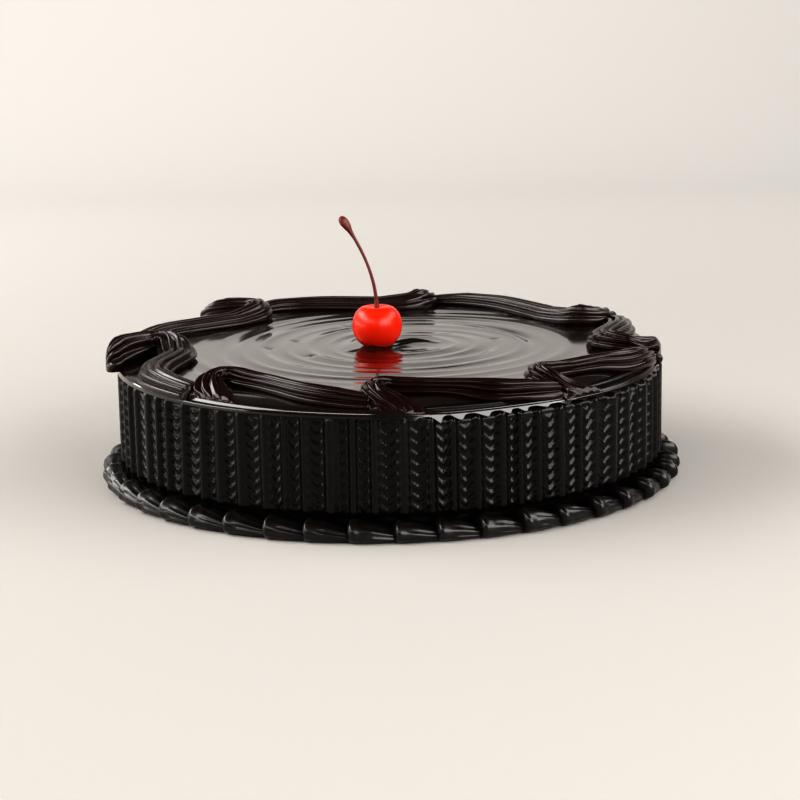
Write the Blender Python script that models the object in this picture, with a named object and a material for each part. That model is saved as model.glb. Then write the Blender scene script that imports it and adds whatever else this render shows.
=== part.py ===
"""Round chocolate cake with a combed side, eight piped swags, a shell border and a cherry.

Blender 4.5, metres, +Z up. The origin is the middle of the flat underside.
"""

import math

import bmesh
import bpy
from mathutils import Matrix, Vector

MM = 0.001
TURN = 2 * math.pi

# Cake: an eight inch round under a coat of ganache
SIDE_RADIUS = 105 * MM  # at the crest of the combed ribs
CAKE_HEIGHT = 48 * MM  # to the flat top
FOOT_RADIUS = 101.2 * MM  # plain band behind the shell border
FOOT_HEIGHT = 9 * MM
SHOULDER_REACH = 11.5 * MM  # the top rolls over to the side across this ring
SHOULDER_DROP = 5.5 * MM
GAP = 0.3 * MM  # between pieces that touch

# Comb marks: upright ribs, and V notches in the grooves between them
RIBS = 76
GROOVE_DEPTH = 1.8 * MM
NOTCH_DEPTH = 0.6 * MM
NOTCHES = 8
NOTCH_PITCH = 3.6 * MM
NOTCH_RISE = 2.4 * MM  # how much the arms of a V climb from the groove to the rib
FLUTE_BOTTOM = 10.4 * MM

# Shell border at the foot
SHELLS = 44
SHELL_RADIUS = 112.5 * MM
SHELL_HEIGHT = 8.2 * MM
SHELL_SIDES = 7
SHELL_CREST = 0.17  # the fullest place, as a share of a shell's length
SHELL_STATIONS = (0, SHELL_CREST, 0.38, 0.68, 0.96)  # shares of a shell's length
SHELL_START = 0.84  # size where a head comes out over the last tail
SHELL_TAPER = 0.36  # how much of the size is lost from the head to the tail

# Swags round the top: each one starts in a hook at the rim and ends at the next hook
HOOKS = (  # azimuth in degrees, and size against the usual hook
    (231, 1),
    (270.5, 1),
    (310.5, 0.96),
    (354, 1.1),
    (30, 1),
    (85, 1.05),
    (133, 1.1),
    (188, 1.16),
)
SWAG_RADIUS = 95 * MM
HOOK_BEND = 6.5 * MM
HOOK_START = (6.4 * MM, 6.6 * MM)  # (along the rim, outwards) from the hook's place
HOOK_CENTRE = (2 * MM, -3 * MM)
HOOK_HEIGHT = 7.6 * MM
ROPE_HEIGHT = 5.8 * MM
TAIL_HEIGHT = 4.4 * MM
TAIL_OUT = 4 * MM  # how far outside SWAG_RADIUS a swag ends
ROPE_DRIFT = ((0.17, 0.03), (0.38, 0.3), (0.6, 0.7), (0.8, 0.93), (1, 1))  # (along, outwards)
OUTER_HALF_WIDTH = 7.6 * MM
INNER_HALF_WIDTH = 5.9 * MM
TAIL_CLEARANCE = 1.6 * MM  # from the tail to the next hook
SWAG_TOP_SIDES = 8  # round the ridged top, with fewer underneath
SWAG_UNDERSIDES = 4
SWAG_STATIONS = 18
SWAG_RIDGE = 0.09  # half of a ridge's height, as a share of the rope's
SHOULDER_SPARE = 1.1 * MM  # more room under a swag where the flat facets cross the shoulder

# Cherry
CHERRY_AT = (-4.6 * MM, 1 * MM)
CHERRY_RADIUS = 9.5 * MM
CHERRY_HEIGHT = 17.4 * MM
CHERRY_DIMPLE = 1.6 * MM
STEM_RADIUS = 0.7 * MM
STEM_KNOB_RADIUS = 1.35 * MM
STEM_LEAN = 13.4 * MM
STEM_RISE = 34 * MM


def clear_scene():
    for thing in list(bpy.data.objects):
        bpy.data.objects.remove(thing, do_unlink=True)


def make_material(name, colour, roughness):
    material = bpy.data.materials.new(name)
    material.use_nodes = True
    shader = material.node_tree.nodes["Principled BSDF"]
    shader.inputs["Base Color"].default_value = (*colour, 1)
    shader.inputs["Roughness"].default_value = roughness
    shader.inputs["Metallic"].default_value = 0
    return material


def add_object(name, bm, material, collection):
    """Closes the mesh up, turns its faces outwards and makes a smooth shaded object of it."""
    bmesh.ops.remove_doubles(bm, verts=bm.verts, dist=1e-6)
    bmesh.ops.recalc_face_normals(bm, faces=bm.faces)
    mesh = bpy.data.meshes.new(name)
    bm.to_mesh(mesh)
    bm.free()
    mesh.materials.append(material)
    mesh.shade_smooth()
    mesh.set_sharp_from_angle(angle=math.radians(40))
    thing = bpy.data.objects.new(name, mesh)
    collection.objects.link(thing)
    return thing


def turned(profile, steps, closed=False):
    """A bmesh of the profile's (radius, height) points spun round the Z axis."""
    bm = bmesh.new()
    verts = [bm.verts.new((r, 0, z)) for r, z in profile]
    ends = verts[1:] + verts[:1] if closed else verts[1:]
    edges = [bm.edges.new(pair) for pair in zip(verts, ends)]
    bmesh.ops.spin(
        bm,
        geom=verts + edges,
        cent=(0, 0, 0),
        axis=(0, 0, 1),
        angle=TURN,
        steps=steps,
        use_merge=True,
    )
    return bm


def top_height(radius):
    """Height of the cake's top at a radius: flat, then an elliptical roll over the shoulder."""
    across = (radius - SIDE_RADIUS + SHOULDER_REACH) / SHOULDER_REACH
    if across <= 0:
        return CAKE_HEIGHT
    if across >= 1:
        return CAKE_HEIGHT - SHOULDER_DROP * across
    return CAKE_HEIGHT - SHOULDER_DROP * (1 - math.sqrt(1 - across * across))


def rib_drift(angle):
    """Hand combed ribs aren't evenly spaced: how far each stands off its even place."""
    pitch = TURN / RIBS
    return pitch * (0.12 * math.sin(9 * angle + 1) + 0.1 * math.sin(23 * angle + 4))


def flute_rows():
    """Even heights of the rows that carry the notches, lowest first."""
    return [FLUTE_BOTTOM + row * NOTCH_PITCH / 2 for row in range(2 * NOTCHES + 1)]


def body_profile():
    rows = [(0, 0), (FOOT_RADIUS, 0), (FOOT_RADIUS, FOOT_HEIGHT)]
    rows += [(SIDE_RADIUS, z) for z in flute_rows()]
    for degrees in (84, 58, 32, 0):
        roll = math.radians(degrees)
        radius = SIDE_RADIUS - SHOULDER_REACH * (1 - math.sin(roll))
        rows.append((radius, CAKE_HEIGHT - SHOULDER_DROP * (1 - math.cos(roll))))
    return rows + [(0, CAKE_HEIGHT)]


def comb_side(bm):
    """Every other column of the side is a rib. The columns between sink, and are notched."""
    rows = {round(z, 6): row for row, z in enumerate(flute_rows())}
    for vert in bm.verts:
        radius = math.hypot(vert.co.x, vert.co.y)
        if radius < FOOT_RADIUS - SHOULDER_REACH:
            continue
        angle = math.atan2(vert.co.y, vert.co.x)
        column = round(angle / TURN * 2 * RIBS)
        row = rows.get(round(vert.co.z, 6))
        if row is not None and column % 2:
            vert.co.z += NOTCH_RISE
        elif row is not None:
            radius -= GROOVE_DEPTH + NOTCH_DEPTH * (row % 2)
        angle += rib_drift(angle)
        vert.co.x = radius * math.cos(angle)
        vert.co.y = radius * math.sin(angle)


def add_cake(material, collection):
    bm = turned(body_profile(), 2 * RIBS)
    bmesh.ops.remove_doubles(bm, verts=bm.verts, dist=1e-6)
    comb_side(bm)
    return add_object("cake", bm, material, collection)


def shell_swell(share):
    """Size of the border at a share of one shell's length: a full head, then a tapering tail."""
    if share < SHELL_CREST:
        return SHELL_START + (1 - SHELL_START) * share / SHELL_CREST
    return 1 - SHELL_TAPER * ((share - SHELL_CREST) / (1 - SHELL_CREST)) ** 1.4


def add_shell_border(material, collection):
    """One continuous piped string: a turned ring whose outside swells and tapers shell by shell."""
    inner = FOOT_RADIUS + GAP
    arc = [math.pi / 2 * side / (SHELL_SIDES - 3) for side in range(SHELL_SIDES - 2)]
    reach = SHELL_RADIUS - inner
    profile = [(inner, 0), (inner, 0.8 * SHELL_HEIGHT)]
    profile += [
        (inner + reach * math.sin(a) ** 0.8, SHELL_HEIGHT * math.cos(a) ** 0.7)
        for a in arc[1:-1]
    ]
    profile += [(inner + reach, 0.25 * SHELL_HEIGHT), (inner + 0.92 * reach, 0)]
    steps = SHELLS * len(SHELL_STATIONS)
    bm = turned(profile, steps, closed=True)
    bmesh.ops.remove_doubles(bm, verts=bm.verts, dist=1e-6)
    for vert in bm.verts:
        radius = math.hypot(vert.co.x, vert.co.y)
        step = round(math.atan2(vert.co.y, vert.co.x) / TURN * steps) % steps
        shell, station = divmod(step, len(SHELL_STATIONS))
        share = SHELL_STATIONS[station]
        swell = shell_swell(share)
        angle = (shell + share) / SHELLS * TURN
        radius = inner + (radius - inner) * swell
        lift = vert.co.z * (0.35 + 0.65 * swell)
        vert.co = (radius * math.cos(angle), radius * math.sin(angle), lift)
    return add_object("shell_border", bm, material, collection)


def through(points, share):
    """A smooth (Catmull-Rom) curve through the points, at a share of its way."""
    place = min(max(share, 0), 0.999999) * (len(points) - 1)
    at = int(place)
    t = place - at
    p0, p1, p2, p3 = (
        points[min(max(at + step, 0), len(points) - 1)] for step in (-1, 0, 1, 2)
    )
    return 0.5 * (
        2 * p1
        + (p2 - p0) * t
        + (2 * p0 - 5 * p1 + 4 * p2 - p3) * t * t
        + (3 * p1 - p0 - 3 * p2 + p3) * t * t * t
    )


def swag_route(length, size, next_size):
    """Middle line of a swag as (along the rim, outwards), with the hook first.

    The hook starts at the rim, runs inwards and turns round its centre. From there the rope
    drifts outwards in an S, and ends at the rim beside the next hook.
    """
    bend = HOOK_BEND * size
    turn = [
        Vector(HOOK_CENTRE) + bend * Vector((math.cos(a), math.sin(a)))
        for a in (math.radians(degrees) for degrees in (136, 172, 208, 244, 276))
    ]
    start = Vector(HOOK_START) * size
    hook = [start, (start + turn[0]) / 2, *turn]
    next_hook = length + HOOK_CENTRE[0] - (HOOK_BEND + OUTER_HALF_WIDTH) * next_size
    begin = hook[-1].x
    end = next_hook - TAIL_CLEARANCE
    inward = hook[-1].y
    rope = [
        Vector((begin + (end - begin) * share, inward + (TAIL_OUT - inward) * out))
        for share, out in ROPE_DRIFT
    ]
    return hook + rope


def swag_size(share, size):
    """(outer half width, inner half width, height) at a share of the swag."""
    rope = ROPE_HEIGHT / HOOK_HEIGHT / size
    tail = TAIL_HEIGHT / HOOK_HEIGHT / size
    stops = (  # share of the swag, then each size against the full one
        (0, 0.62, 0.62, 0.7),  # start of the hook
        (0.07, 0.9, 0.93, 0.95),
        (0.25, 1, 1, 1),  # bend of the hook
        (0.5, 0.96 / size, 1.05 / size, rope),
        (0.8, 0.86 / size, 1 / size, rope),
        (0.95, 0.74 / size, 0.9 / size, tail),
        (1, 0.6 / size, 0.75 / size, 0.8 * tail),  # end of the tail
    )
    for before, after in zip(stops, stops[1:]):
        if share <= after[0]:
            t = (share - before[0]) / (after[0] - before[0])
            outer, inner, height = (b + (a - b) * t for b, a in zip(before[1:], after[1:]))
            break
    widths = outer * OUTER_HALF_WIDTH, inner * INNER_HALF_WIDTH
    return (*(width * size for width in widths), height * HOOK_HEIGHT * size)


def swag_section(corner):
    """(across, up, on a ridge) of a corner of the section, from its outer edge over the top."""
    if corner <= SWAG_TOP_SIDES:
        side = math.pi * corner / SWAG_TOP_SIDES
        return math.cos(side), math.sin(side) ** 0.75, corner % 2 == 1
    under = (corner - SWAG_TOP_SIDES) / SWAG_UNDERSIDES
    return 2 * under - 1, 0, False


def swag_underside(radius):
    """Height at which a swag lies: over the top, with some room round the shoulder."""
    over = (radius - SIDE_RADIUS + SHOULDER_REACH) / SHOULDER_REACH
    spare = SHOULDER_SPARE * min(max(over * 2, 0), 1)
    return top_height(radius) + GAP + spare


def add_swag(number, azimuth, size, route, material, collection):
    """A straight bar, ridged, bent round the swag's route and laid over the top."""
    bm = bmesh.new()
    sides = SWAG_TOP_SIDES + SWAG_UNDERSIDES
    ring = bmesh.ops.create_circle(bm, segments=sides, radius=1)["verts"]
    bmesh.ops.rotate(bm, verts=ring, matrix=Matrix.Rotation(TURN / 4, 3, "Y"))
    bmesh.ops.spin(
        bm,
        geom=bm.verts[:] + bm.edges[:],
        cent=(0, 0, 0),
        axis=(1, 0, 0),
        dvec=(1, 0, 0),
        angle=0,
        steps=SWAG_STATIONS,
    )
    ends = [edge for edge in bm.edges if edge.is_boundary]
    bmesh.ops.holes_fill(bm, edges=ends, sides=0)
    for vert in bm.verts:
        station = round(vert.co.x) / SWAG_STATIONS
        corner = round(math.atan2(vert.co.z, vert.co.y) / TURN * sides) % sides
        across, up, on_ridge = swag_section(corner)
        outer, inner, height = swag_size(station, size)
        height *= 1 + SWAG_RIDGE if on_ridge else 1 - SWAG_RIDGE
        middle = through(route, station)
        ahead = through(route, station + 0.004) - through(route, station - 0.004)
        ahead.normalize()
        left = Vector((-ahead.y, ahead.x))
        plan = middle + across * (inner if across > 0 else outer) * left
        angle = math.radians(azimuth) + plan.x / SWAG_RADIUS
        radius = SWAG_RADIUS + plan.y
        vert.co.x = radius * math.cos(angle)
        vert.co.y = radius * math.sin(angle)
        vert.co.z = swag_underside(radius) + up * height
    return add_object(f"piped_swag_{number}", bm, material, collection)


def add_swags(material, collection):
    following = HOOKS[1:] + HOOKS[:1]
    for number, (hook, next_hook) in enumerate(zip(HOOKS, following), 1):
        azimuth, size = hook
        next_azimuth, next_size = next_hook
        length = math.radians((next_azimuth - azimuth) % 360) * SWAG_RADIUS
        route = swag_route(length, size, next_size)
        add_swag(number, azimuth, size, route, material, collection)


def add_cherry(material, collection):
    """A turned fruit, a little wider than tall, dimpled where the stem goes in."""
    half = CHERRY_HEIGHT / 2
    profile = []
    for step in range(11):
        a = math.pi * step / 10
        radius = CHERRY_RADIUS * math.sin(a) ** 0.88
        dimple = CHERRY_DIMPLE * math.exp(-((a / 0.42) ** 2))
        profile.append((radius, half + half * math.cos(a) - dimple))
    bm = turned(profile, 20)
    seat = Vector((*CHERRY_AT, CAKE_HEIGHT + GAP))
    bmesh.ops.translate(bm, verts=bm.verts, vec=seat)
    return add_object("cherry", bm, material, collection)


def add_stem(material, collection):
    """A thin stalk that leans to the left and ends in a knob."""
    curve = bpy.data.curves.new("cherry_stem", "CURVE")
    curve.dimensions = "3D"
    curve.bevel_depth = STEM_RADIUS
    curve.bevel_resolution = 2
    curve.use_fill_caps = True
    foot = Vector((*CHERRY_AT, CAKE_HEIGHT + CHERRY_HEIGHT - CHERRY_DIMPLE + 3 * GAP))
    shares = (0, 0.12, 0.27, 0.42, 0.56, 0.7, 0.82, 0.87, 0.93, 0.98, 1)
    knob = STEM_KNOB_RADIUS / STEM_RADIUS
    sizes = (1.15, 1, 0.95, 0.92, 0.92, 0.95, 1.1, 1.6, knob, 0.85 * knob, 0.5)
    spline = curve.splines.new("POLY")
    spline.points.add(len(shares) - 1)
    for point, share, size in zip(spline.points, shares, sizes):
        lean = STEM_LEAN * share**1.9
        point.co = (*(foot + Vector((-lean, 0, STEM_RISE * share))), 1)
        point.radius = size
    stem = bpy.data.objects.new("cherry_stem", curve)
    curve.materials.append(material)
    collection.objects.link(stem)
    return stem


def main():
    clear_scene()
    collection = bpy.data.collections.new("chocolate_cake")
    bpy.context.scene.collection.children.link(collection)
    ganache = make_material("ganache", (0.012, 0.007, 0.005), 0.25)
    fruit = make_material("cherry_flesh", (0.75, 0.03, 0.008), 0.2)
    stalk = make_material("cherry_stalk", (0.16, 0.012, 0.008), 0.4)
    add_cake(ganache, collection)
    add_shell_border(ganache, collection)
    add_swags(ganache, collection)
    add_cherry(fruit, collection)
    add_stem(stalk, collection)


main()
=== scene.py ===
"""Looks of a round chocolate cake: combed side, poured glaze, piped swags and shells, a cherry."""

import math

import bmesh
import bpy
import numpy as np
from bpy.props import FloatProperty, FloatVectorProperty, IntProperty, PointerProperty
from mathutils import Matrix, Vector


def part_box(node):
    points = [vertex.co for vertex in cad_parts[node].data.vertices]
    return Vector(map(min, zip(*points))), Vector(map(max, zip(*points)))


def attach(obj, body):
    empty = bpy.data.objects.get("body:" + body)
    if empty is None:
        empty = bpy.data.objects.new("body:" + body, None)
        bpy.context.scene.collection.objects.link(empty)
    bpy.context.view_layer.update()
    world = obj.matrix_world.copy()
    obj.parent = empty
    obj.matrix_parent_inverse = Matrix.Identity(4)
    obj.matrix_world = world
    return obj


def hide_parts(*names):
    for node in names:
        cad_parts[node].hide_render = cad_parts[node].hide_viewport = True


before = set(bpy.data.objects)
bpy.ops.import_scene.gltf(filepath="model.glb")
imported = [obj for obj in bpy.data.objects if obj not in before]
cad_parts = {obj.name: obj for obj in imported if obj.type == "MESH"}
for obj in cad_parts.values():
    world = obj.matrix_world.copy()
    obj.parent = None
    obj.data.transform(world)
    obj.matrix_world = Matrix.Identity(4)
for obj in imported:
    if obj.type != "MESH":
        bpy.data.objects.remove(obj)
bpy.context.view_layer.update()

bl_info = {
    "name": "Chocolate cake",
    "version": (1, 0, 0),
    "blender": (4, 5, 0),
    "location": "3D View > Sidebar > Cake",
    "description": "Builds a ganache cake with piped borders and a cherry, and a studio round it",
    "category": "Add Mesh",
}

MM = 0.001
TURN = 2 * math.pi
CAKE_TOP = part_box("cake")[1].z
MERGE_DISTANCE = 1e-7  # metres
JUST_UNDER_ONE = 0.999999  # keeps the end of a curve in its last stretch


# Settings that a user would change


def hex_colour(code):
    """Linear red, green and blue of an sRGB hex value such as "#1A0F0B"."""
    parts = (int(code[at : at + 2], 16) / 255 for at in (1, 3, 5))
    return tuple(p / 12.92 if p <= 0.04045 else ((p + 0.055) / 1.055) ** 2.4 for p in parts)


def length(label, text, millimetres):
    """A length setting, given in millimetres."""
    return FloatProperty(name=label, description=text, default=millimetres * MM, unit="LENGTH")


def share(label, text, value):
    """A setting that is a part of a whole."""
    return FloatProperty(name=label, description=text, default=value, min=0, subtype="FACTOR")


def colour(label, text, code):
    """A colour setting, given as an sRGB hex value."""
    return FloatVectorProperty(
        name=label, description=text, default=hex_colour(code), size=3, min=0, subtype="COLOR"
    )


def watts(label, text, power):
    """The power of a lamp."""
    return FloatProperty(name=label, description=text, default=power, min=0)


class SideSettings(bpy.types.PropertyGroup):
    """The combed side of the cake."""

    radius: length("Radius", "Radius at the crests of the ribs", 105)
    foot_radius: length("Foot radius", "Radius of the plain band behind the shells", 102.2)
    ribs: IntProperty(name="Ribs", description="Upright ribs round the side", default=76)
    rib_height: length("Rib height", "How far a rib stands out of its grooves", 1.9)
    notch_pitch: length("Notch pitch", "From one V notch to the next up a groove", 3.8)
    notch_height: length("Notch height", "How far the arms of a V stand out", 0.9)
    colour: colour("Colour", "Ganache of the side", "#080504")


class GlazeSettings(bpy.types.PropertyGroup):
    """The glaze poured over the top."""

    roll: length("Roll", "Radius of the roll over the rim", 2.6)
    swirl_pitch: length("Swirl pitch", "Spacing of the spreading marks", 8.8)
    swirl_height: length("Swirl height", "Height of the spreading marks", 0.15)
    colour: colour("Colour", "Poured glaze", "#130C0A")


class PipingSettings(bpy.types.PropertyGroup):
    """The piped swags and the shell border."""

    circle: length("Circle", "Radius of the circle that the swags hang on", 95)
    outer_width: length("Outer half width", "From the middle line to outside the bend", 7.4)
    inner_width: length("Inner half width", "From the middle line to inside the bend", 5.9)
    rope_height: length("Rope height", "Height of a rope between its hooks", 5.4)
    nozzle_teeth: IntProperty(name="Ridges", description="Ridges over a rope", default=6)
    ridge_depth: share("Ridge depth", "Depth between ridges, as a part of the rope", 0.36)
    shells: IntProperty(name="Shells", description="Shells round the foot", default=44)
    shell_reach: length("Shell reach", "Radius of the border over its shells", 112.5)
    shell_height: length("Shell height", "Height of a shell's head", 8.1)
    shell_colour: colour("Shell colour", "Piped ganache at the foot", "#0A0604")
    colour: colour("Colour", "Piped ganache", "#160806")


class CherrySettings(bpy.types.PropertyGroup):
    """The cherry and its stem."""

    across: length("Width", "Width of the cherry", 19.5)
    tall: length("Height", "Height of the cherry", 17.6)
    stem_lean: length("Stem lean", "How far the stem leans to the left", 13.4)
    colour: colour("Colour", "Fruit skin", "#D82A00")
    stem_colour: colour("Stem colour", "Stalk", "#4C160E")


class StageSettings(bpy.types.PropertyGroup):
    """The floor and the lamps."""

    floor_colour: colour("Floor colour", "Floor and wall", "#A7A4A0")
    left_power: watts("Left", "Watts of the high soft box at the left", 14)
    low_power: watts("Low left", "Watts of the low strip at the left", 3)
    right_power: watts("Right", "Watts of the soft box at the front right", 11)
    far_power: watts("Far right", "Watts of the soft box beside the cake", 5)
    front_power: watts("Front", "Watts of the strip in front", 3)
    top_power: watts("Top", "Watts of the soft box overhead", 8)
    wall_power: watts("Wall", "Watts of the soft box that lights the wall", 9)


class CakeSettings(bpy.types.PropertyGroup):
    """All the settings of the cake."""

    side: PointerProperty(type=SideSettings)
    glaze: PointerProperty(type=GlazeSettings)
    piping: PointerProperty(type=PipingSettings)
    cherry: PointerProperty(type=CherrySettings)
    stage: PointerProperty(type=StageSettings)


# Mesh helpers


def turned(profile, steps):
    """The profile's (radius, height) points turned round the Z axis."""
    bm = bmesh.new()
    bmesh.ops.create_grid(bm, x_segments=steps, y_segments=len(profile) - 1, size=1)
    x, y, _ = places_of(bm).T
    angle = np.round((x + 1) / 2 * steps) / steps * TURN
    point = np.round((y + 1) / 2 * (len(profile) - 1)).astype(int)
    radius, height = np.array(profile)[point].T
    place_round(bm, radius, angle, height)
    bmesh.ops.remove_doubles(bm, verts=bm.verts, dist=MERGE_DISTANCE)
    return bm


def bar(sides, stations):
    """A closed straight bar. Also gives each vertex's station, 0 to 1, and its corner's angle."""
    bm = bmesh.new()
    bmesh.ops.create_circle(bm, segments=sides, radius=1)
    bmesh.ops.rotate(bm, verts=bm.verts, matrix=Matrix.Rotation(TURN / 4, 3, "Y"))
    bmesh.ops.spin(
        bm,
        geom=bm.verts[:] + bm.edges[:],
        cent=(0, 0, 0),
        axis=(1, 0, 0),
        dvec=(1, 0, 0),
        angle=0,
        steps=stations,
    )
    ends = [edge for edge in bm.edges if edge.is_boundary]
    bmesh.ops.holes_fill(bm, edges=ends, sides=0)
    places = places_of(bm)
    corners = np.round(np.arctan2(places[:, 2], places[:, 1]) / TURN * sides) % sides
    return bm, np.clip(places[:, 0] / stations, 0, 1), corners / sides


def places_of(bm):
    return np.array([vert.co[:] for vert in bm.verts])


def place_verts(bm, x, y, z):
    for vert, place in zip(bm.verts, np.column_stack((x, y, z))):
        vert.co = place


def place_round(bm, radius, angle, z):
    """Places each vertex by its radius and azimuth round the Z axis."""
    place_verts(bm, radius * np.cos(angle), radius * np.sin(angle), z)


def add_object(name, data):
    """A new object in the scene, at the origin."""
    made = bpy.data.objects.new(name, data)
    bpy.context.scene.collection.objects.link(made)
    return made


def add_mesh(name, bm, material):
    """A new object with this mesh, its faces turned outwards and shaded smooth."""
    bmesh.ops.recalc_face_normals(bm, faces=bm.faces)
    mesh = bpy.data.meshes.new(name)
    bm.to_mesh(mesh)
    bm.free()
    mesh.materials.append(material)
    mesh.shade_smooth()
    return add_object(name, mesh)


def finish_piece(name, bm, material, node):
    """Adds a piece that rides on the frame in its node's place."""
    piece = add_mesh(name, bm, material)
    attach(piece, "root")
    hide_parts(node)


def ease(low, high, value):
    """0 below low, 1 above high and a smooth step between."""
    t = np.clip((value - low) / (high - low), 0, 1)
    return t * t * (3 - 2 * t)


def hill(away, width):
    """1 in the middle, and smoothly down to 0 about two widths away from it."""
    return np.exp(-((away / width) ** 2))


def wander(angle, waves, seed):
    """A smooth random line, about -1 to 1, that closes after a full turn."""
    chance = np.random.default_rng(seed)
    total = sum(np.sin(wave * angle + chance.uniform(0, TURN)) for wave in waves)
    return total / math.sqrt(len(waves))


def through(points, shares):
    """Places on a smooth (Catmull-Rom) curve through the points, at shares of its way."""
    points = np.array(points)
    last = len(points) - 1
    place = np.clip(shares, 0, JUST_UNDER_ONE) * last
    at = np.floor(place).astype(int)
    t = (place - at)[:, None]
    p0, p1, p2, p3 = (points[np.clip(at + step, 0, last)] for step in (-1, 0, 1, 2))
    return 0.5 * (
        2 * p1
        + (p2 - p0) * t
        + (2 * p0 - 5 * p1 + 4 * p2 - p3) * t**2
        + (3 * p1 - p0 - 3 * p2 + p3) * t**3
    )


# Materials

GANACHE_IOR = 1.47  # cocoa butter and cream
PATCH_SIZE = 9  # mm, patches that are a little warmer and duller
PATCH_WARMTH = 1.5  # brightness of their colour against the base
PATCH_CONTRAST = (0.3, 0.7)  # the noise's values that give the smoothest and the roughest spots
GRAIN_SIZE = 0.8  # mm, coarser than real ganache so that it shows at all
# Each ganache: roughness where it is smoothest and roughest; depth of its grain in mm; specular
# level of its body; weight and roughness of the film of melted fat over it
GANACHES = {
    # Scraped by the comb: near black and dull, with soft streaks of light down the ribs
    "combed_ganache": (0.3, 0.42, 0.012, 0.14, 0.3, 0.17),
    # Poured warm: a dark mirror that is a little soft
    "poured_glaze": (0.09, 0.14, 0.002, 0.5, 0.45, 0.09),
    # Piped and still wet, at the front: glints along each strand
    "piped_ganache": (0.13, 0.22, 0.01, 0.28, 0, 0.17),
    # Piped and drier, at the back: a broad, pale sheen
    "dry_piped_ganache": (0.24, 0.36, 0.01, 0.5, 0, 0.17),
    # Piped at the foot: dull, with one soft light on each head
    "shell_ganache": (0.34, 0.48, 0.015, 0.3, 0.4, 0.17),
}


def set_inputs(tree, node, inputs):
    """Gives each input its value, or the socket that feeds it."""
    for name, value in inputs.items():
        if isinstance(value, bpy.types.NodeSocket):
            tree.links.new(value, node.inputs[name])
        else:
            node.inputs[name].default_value = value


def add_node(tree, kind, inputs, **settings):
    """Adds a node with its settings and its inputs."""
    node = tree.nodes.new(kind)
    for name, value in settings.items():
        setattr(node, name, value)
    set_inputs(tree, node, inputs)
    return node


def new_material(name):
    material = bpy.data.materials.new(name)
    material.use_nodes = True
    return material, material.node_tree, material.node_tree.nodes["Principled BSDF"]


def food_material(name, base, second, patches, fine, depth):
    """A material with patches of a second colour and a fine grain that is this many mm deep.

    The patches and the grain are given as a size in mm and a detail, and lie on the piece's own
    coordinates. Also gives the material's nodes, its shader and the patches' socket.
    """
    material, tree, shader = new_material(name)
    place = add_node(tree, "ShaderNodeTexCoord", {}).outputs["Object"]
    patchy, grainy = (
        add_node(
            tree,
            "ShaderNodeTexNoise",
            {"Vector": place, "Scale": 1 / (size * MM), "Detail": detail},
        ).outputs["Fac"]
        for size, detail in (patches, fine)
    )
    mix = {"Factor": patchy, "A": (*base, 1), "B": (*second, 1)}
    bump = {"Height": grainy, "Distance": depth * MM, "Strength": 1}
    skin = {
        "Base Color": add_node(tree, "ShaderNodeMix", mix, data_type="RGBA").outputs["Result"],
        "Normal": add_node(tree, "ShaderNodeBump", bump).outputs["Normal"],
    }
    set_inputs(tree, shader, skin)
    return material, tree, shader, patchy


def ganache(name, base):
    """Set dark ganache: chocolate and cream, a fat that dries to a soft gloss.

    It is smoother where it flowed and duller where a tool dragged it.
    """
    smooth, rough, depth, body, film, film_rough = GANACHES[name]
    warmer = tuple(part * PATCH_WARMTH for part in base)
    material, tree, shader, patches = food_material(
        name, base, warmer, (PATCH_SIZE, 3), (GRAIN_SIZE, 3), depth
    )
    low, high = PATCH_CONTRAST
    stretch = {"From Min": low, "From Max": high, "To Min": smooth, "To Max": rough}
    spread = add_node(tree, "ShaderNodeMapRange", {"Value": patches, **stretch})
    gloss = {
        "Roughness": spread.outputs["Result"],
        "IOR": GANACHE_IOR,
        "Specular IOR Level": body,
        "Coat Weight": film,
        "Coat Roughness": film_rough,
        "Coat IOR": GANACHE_IOR,
    }
    set_inputs(tree, shader, gloss)
    return material


def cherry_skin(base):
    """Candied cherry: sugar-soaked flesh that glows under a thin wet skin."""
    deeper = (base[0] * 0.75, base[1] * 0.5, base[2] * 0.5)
    material, tree, shader, _ = food_material(
        "candied_cherry", base, deeper, (7, 1), (2.5, 3), 0.04
    )
    flesh = {
        "Roughness": 0.32,
        "IOR": 1.42,
        "Specular IOR Level": 0.3,
        "Subsurface Weight": 0.35,
        "Subsurface Radius": (1, 0.25, 0.1),
        "Subsurface Scale": 2.5 * MM,
        "Coat Weight": 0.14,
        "Coat Roughness": 0.25,
    }
    set_inputs(tree, shader, flesh)
    return material


def stalk_bark(base):
    """Dried cherry stalk: woody and dull, redder and paler in streaks."""
    redder = (base[0] * 2.2, base[1] * 1.3, base[2])
    material, tree, shader, _ = food_material(
        "cherry_stalk", base, redder, (1.5, 3), (0.5, 3), 0.05
    )
    set_inputs(tree, shader, {"Roughness": 0.42})
    return material


def matt_paper(base):
    """Studio paper: flat and pale."""
    material, tree, shader = new_material("studio_paper")
    paper = {"Base Color": (*base, 1), "Roughness": 0.9, "Specular IOR Level": 0.2}
    set_inputs(tree, shader, paper)
    return material


# Rim

FLAT_END = 92 * MM  # the top falls away from here to the rim
# Azimuths in degrees: the rim gets cut back over the first stretch, and comes up again over the
# second. At the back it dips a little, most at the middle one of three azimuths.
CUT_STARTS = (266, 282)
CUT_ENDS = (0, 30)
BACK_DIP = (20, 120, 200)
BACK_DIP_DEPTH = 0.35  # against a rim that is cut back
RIM_RADIUS = 103  # mm
RIM_DROP = 1.5  # mm below the top
CUT_IN = 0.6  # mm further in, and
CUT_DROP = 1.9  # mm further down where the rim is cut back
RIM_UNEVEN = 0.25  # mm
ROUNDED_BY = 0.8  # a cut back rim bends down over this part of the slope
ROLL_FALL = 1.1  # mm down for each mm out, beyond the edge


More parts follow.
